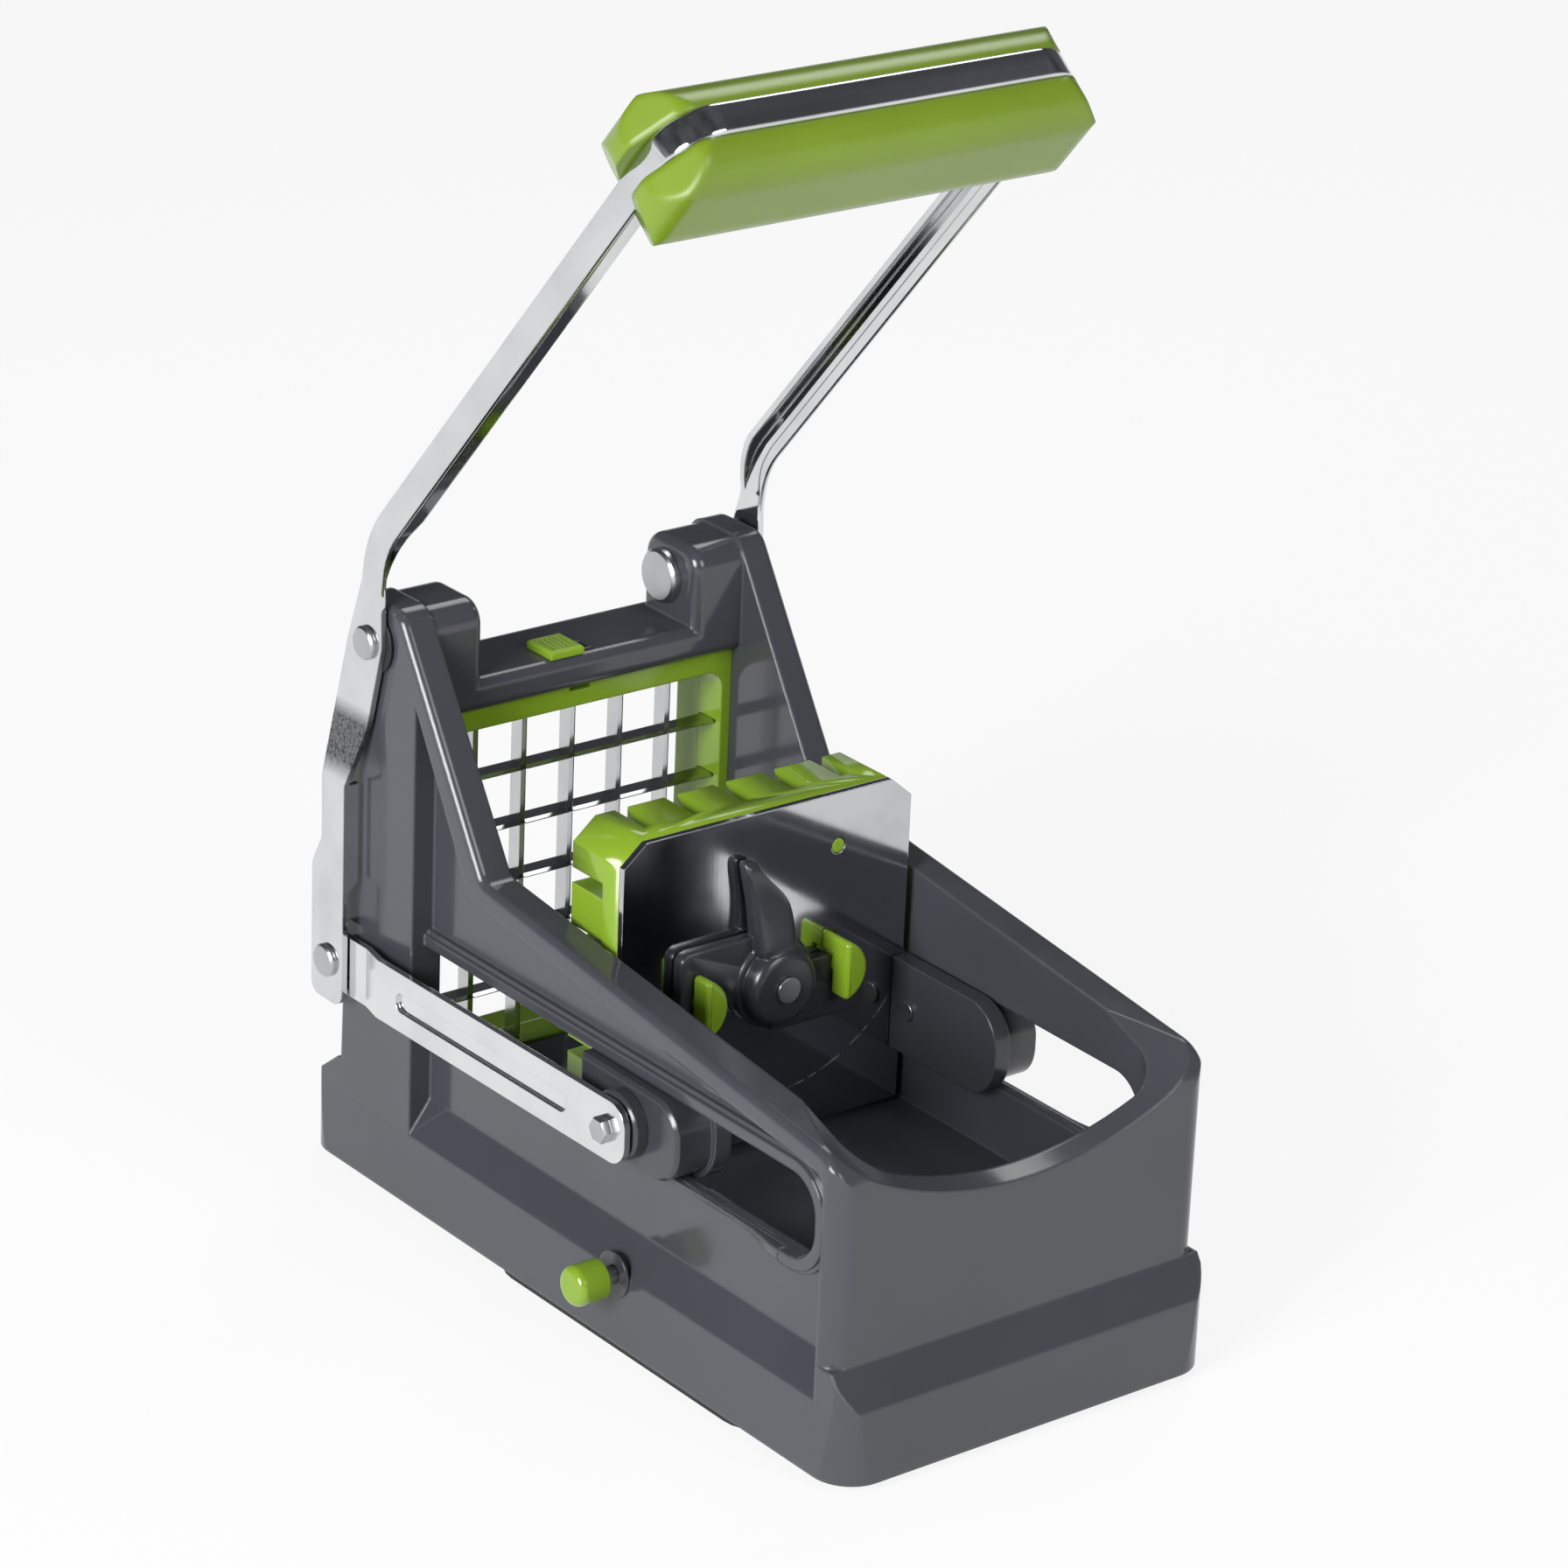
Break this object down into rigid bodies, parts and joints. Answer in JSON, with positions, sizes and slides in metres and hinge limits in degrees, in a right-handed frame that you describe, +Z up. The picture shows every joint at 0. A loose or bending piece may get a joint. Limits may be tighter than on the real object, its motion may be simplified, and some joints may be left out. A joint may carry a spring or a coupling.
{
  "type": "vegetable chopper",
  "caption": "Hand-lever chopper that pushes a potato along a trough through a square blade grid; grey body on a suction pad, chrome lever bail, green grip and cassette.",
  "frame": {"origin": "middle of the base, on the surface that the suction pad stands on", "axes": "+Z up, -Y to the open trough end with the dipped wall, +Y to the blades, +X to the right seen from -Y"},
  "size_m": [0.1148, 0.1914, 0.2681],
  "materials": {
    "grey_plastic": "satin gloss",
    "dark_plastic": "satin",
    "green_plastic": "gloss",
    "chrome_steel": "bright chrome plate",
    "bright_steel": "bright rolled",
    "plated_steel": "bright zinc",
    "black_rubber": "matt"
  },
  "bodies": {
    "base": {"body": "grey_plastic", "base_plate": "grey_plastic", "base_screws": "plated_steel", "suction_pad": "black_rubber", "suction_stud": "plated_steel", "stud_nut": "plated_steel", "release_bush": "dark_plastic", "blade_frame_front": "green_plastic", "blade_frame_rear": "green_plastic", "upright_blade_1": "bright_steel", "upright_blade_2": "bright_steel", "upright_blade_3": "bright_steel", "upright_blade_4": "bright_steel", "upright_blade_5": "bright_steel", "level_blade_1": "bright_steel", "level_blade_2": "bright_steel", "level_blade_3": "bright_steel", "level_blade_4": "bright_steel", "level_blade_5": "bright_steel", "pivot_pin_left": "plated_steel", "pivot_pin_right": "plated_steel", "pivot_washer_left": "plated_steel", "pivot_washer_right": "plated_steel"},
    "lever": {"lever_bail": "chrome_steel", "grip_front": "green_plastic", "grip_rear": "green_plastic", "grip_screws": "plated_steel", "crank_rivet_left": "plated_steel", "crank_rivet_right": "plated_steel"},
    "links": {"link_left": "bright_steel", "link_right": "bright_steel", "link_bolt_left": "plated_steel", "link_bolt_right": "plated_steel"},
    "pusher": {"pusher_plate": "bright_steel", "pusher_head": "green_plastic", "lock_rivet": "plated_steel", "slider_left": "dark_plastic", "slider_right": "dark_plastic", "slider_rivet_left": "plated_steel", "slider_rivet_right": "plated_steel", "link_spacer_left": "dark_plastic", "link_spacer_right": "dark_plastic"},
    "lock": {"lock_lever": "dark_plastic"},
    "latch": {"latch_button": "green_plastic"},
    "release": {"release_rod": "plated_steel", "release_cap": "green_plastic", "release_clip": "plated_steel", "release_spring": "plated_steel"}
  },
  "joints": [
    {"name": "lever_swing", "type": "hinge", "parent": "base", "child": "lever", "pos_m": [0, 0.072, 0.1272], "axis": [1, 0, 0], "range_deg": [-30, 46]},
    {"name": "link_swing", "type": "hinge", "parent": "lever", "child": "links", "pos_m": [0, 0.081, 0.0517], "axis": [1, 0, 0], "range_deg": [-39, 26]},
    {"name": "pusher_slide", "type": "slide", "parent": "base", "child": "pusher", "axis": [0, 1, 0], "range_m": [-0.038, 0.058]},
    {"name": "lock_turn", "type": "hinge", "parent": "pusher", "child": "lock", "pos_m": [0, -0.0068, 0.06685], "axis": [0, 1, 0], "range_deg": [0, 45]},
    {"name": "latch_slide", "type": "slide", "parent": "base", "child": "latch", "axis": [1, 0, 0], "range_m": [0, 0.005]},
    {"name": "release_push", "type": "slide", "parent": "base", "child": "release", "axis": [1, 0, 0], "range_m": [0, 0.003], "stiffness_N_per_m": 300, "springref_m": -0.003, "deforming": ["release_spring"]}
  ],
  "couplings": [
    {"joint": "pusher_slide", "follows": "lever_swing", "m_per_rad": 0.072},
    {"joint": "link_swing", "follows": "lever_swing", "ratio": -0.84}
  ]
}
